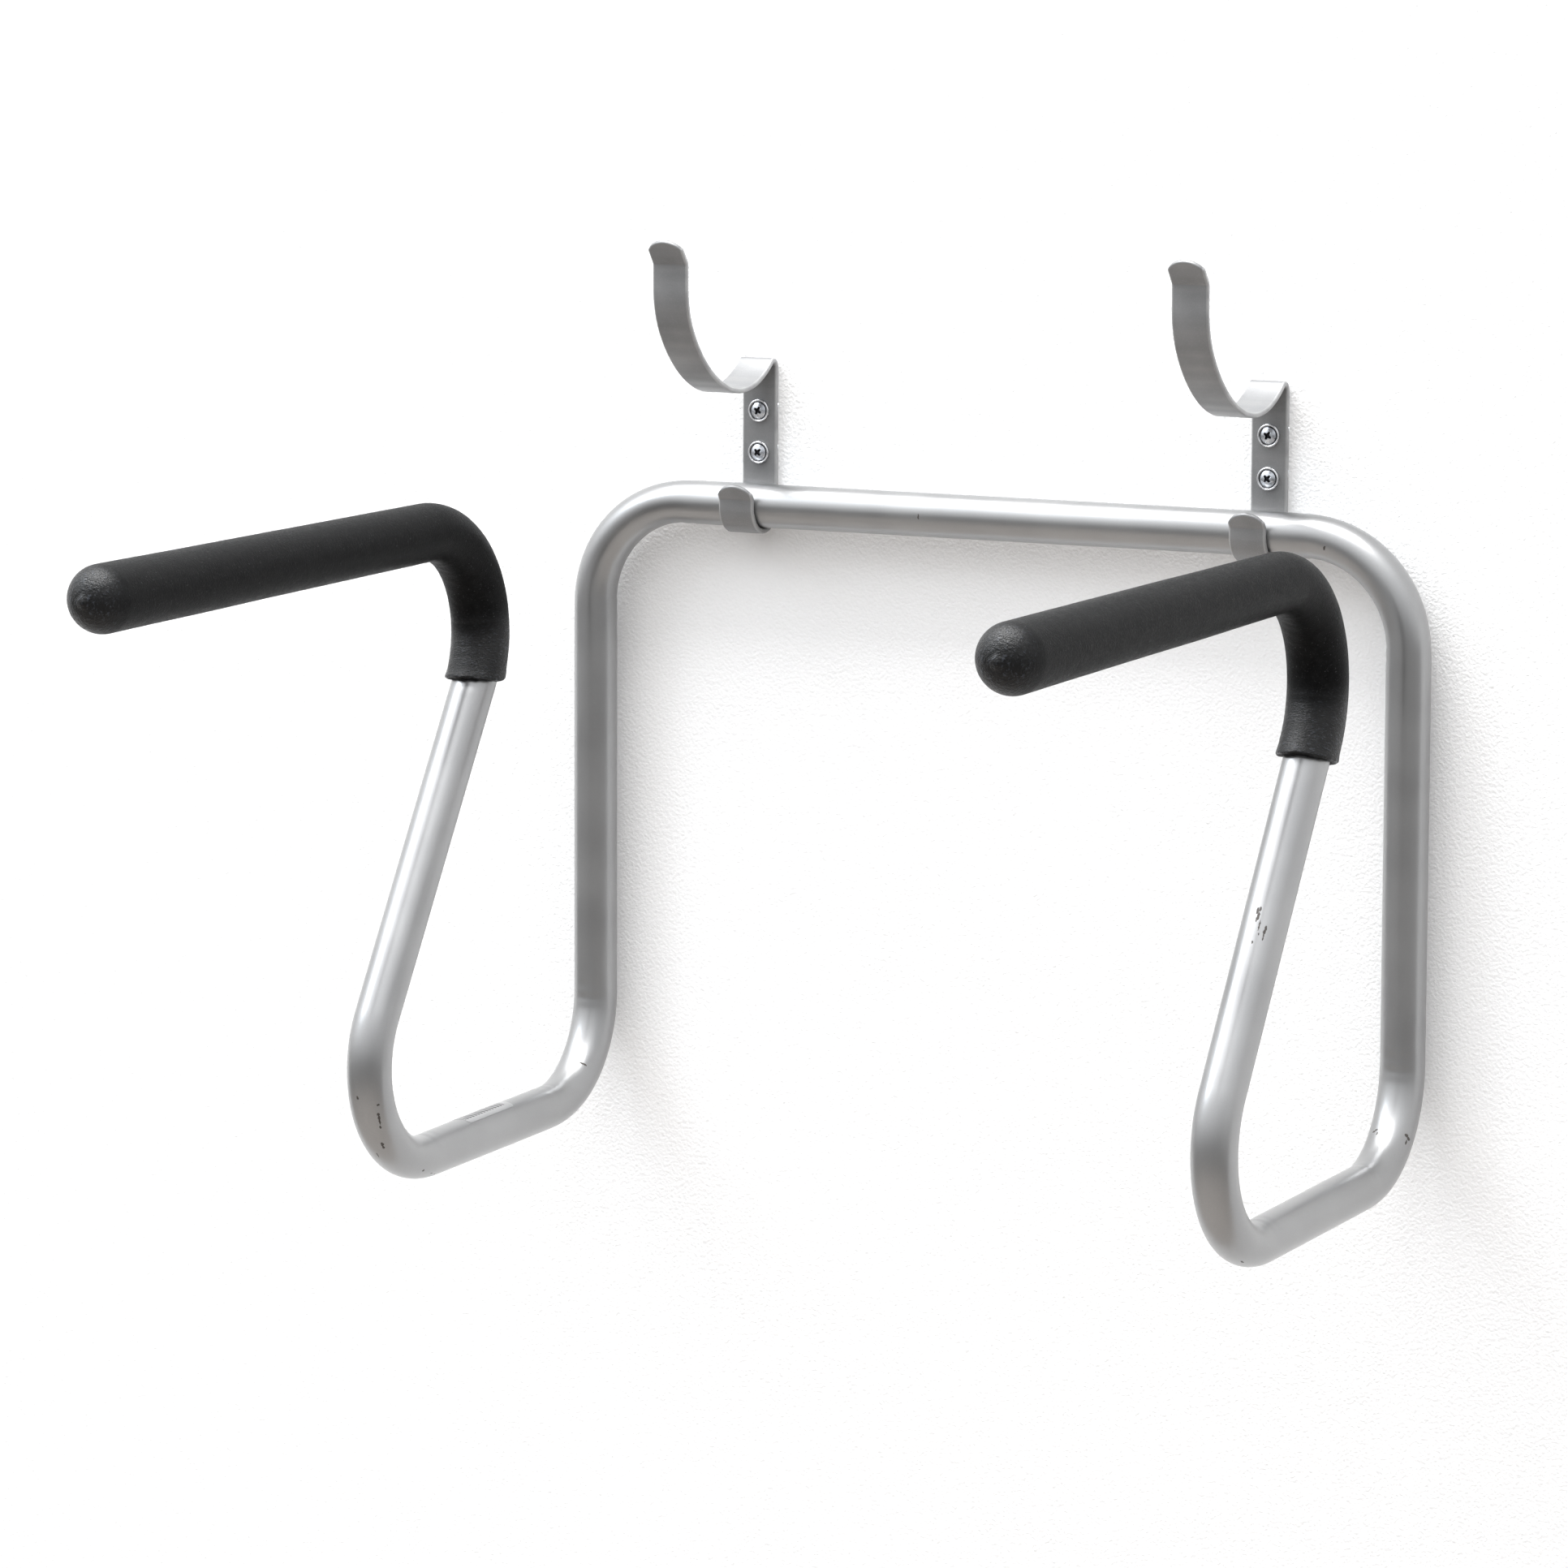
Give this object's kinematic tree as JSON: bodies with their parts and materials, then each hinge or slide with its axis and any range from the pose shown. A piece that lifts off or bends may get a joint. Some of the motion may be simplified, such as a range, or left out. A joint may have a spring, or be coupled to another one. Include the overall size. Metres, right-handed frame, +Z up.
{
  "type": "pull up bar",
  "caption": "Wall-hung bent steel tube frame with foam-covered forward grips, lifted off its open strip-steel wall hooks.",
  "frame": {"origin": "on the wall face, in the middle of the four wall fixings", "axes": "+X along the crossbar to the right, +Y into the wall, +Z up"},
  "size_m": [0.562, 0.5881, 0.5251],
  "materials": {
    "tube_paint": "satin silver paint",
    "bracket_paint": "satin grey-silver paint",
    "zinc_screw": "bright zinc plate",
    "zinc_washer": "bright zinc plate",
    "foam": "matte closed-cell foam",
    "insert_plastic": "black moulded plastic",
    "label_film": "blank silver film"
  },
  "bodies": {
    "wall_brackets": {"wall_bracket_left": "bracket_paint", "wall_bracket_right": "bracket_paint", "screw_left_lower": "zinc_screw", "screw_left_upper": "zinc_screw", "screw_right_lower": "zinc_screw", "screw_right_upper": "zinc_screw", "washer_left_lower": "zinc_washer", "washer_left_upper": "zinc_washer", "washer_right_lower": "zinc_washer", "washer_right_upper": "zinc_washer"},
    "frame": {"tube_frame": "tube_paint", "foam_grip_left": "foam", "foam_grip_right": "foam", "tube_end_insert_left": "insert_plastic", "tube_end_insert_right": "insert_plastic", "blank_label": "label_film"}
  },
  "joints": [
    {"name": "frame_swing", "type": "hinge", "parent": "wall_brackets", "child": "frame", "pos_m": [0, -0.016, -0.0412], "axis": [-1, 0, 0], "range_deg": [0, 88]}
  ]
}
